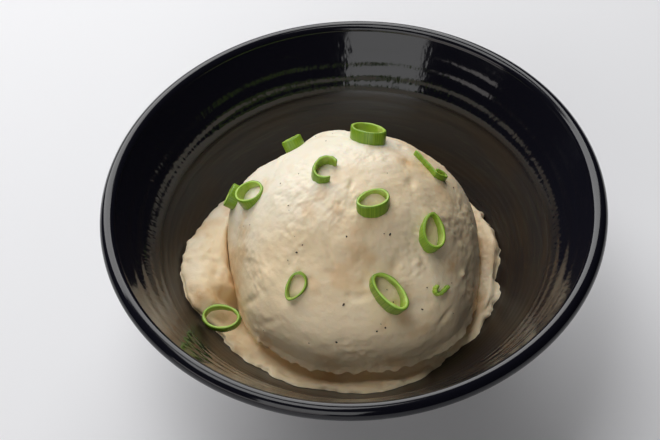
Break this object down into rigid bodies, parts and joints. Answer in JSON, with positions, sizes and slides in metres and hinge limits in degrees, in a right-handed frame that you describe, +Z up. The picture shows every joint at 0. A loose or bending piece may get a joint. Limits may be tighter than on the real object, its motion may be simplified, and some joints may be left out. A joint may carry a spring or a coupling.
{
  "type": "mashed potato side",
  "caption": "Scoop of mashed potato with sliced spring onion and ground pepper, resting in a small dark glazed bowl with a foot ring.",
  "frame": {"origin": "middle of the foot ring's flat underside", "axes": "+Z up out of the bowl; the bowl is round about Z; -Y faces the diner, +X is to the right of someone looking along +Y"},
  "size_m": [0.1446, 0.1446, 0.0683],
  "materials": {
    "black_glaze": "glossy, finely ridged by turning",
    "potato": "soft, faintly moist, smooth with small lumps",
    "spring_onion": "moist, semi-gloss"
  },
  "bodies": {
    "root": {"bowl": "black_glaze", "mash_bed": "potato", "mash_scoop": "potato", "onion_01": "spring_onion", "onion_02": "spring_onion", "onion_03": "spring_onion", "onion_04": "spring_onion", "onion_05": "spring_onion", "onion_06": "spring_onion", "onion_07": "spring_onion", "onion_08": "spring_onion", "onion_09": "spring_onion", "onion_10": "spring_onion", "onion_11": "spring_onion", "onion_12": "spring_onion"}
  },
  "joints": []
}
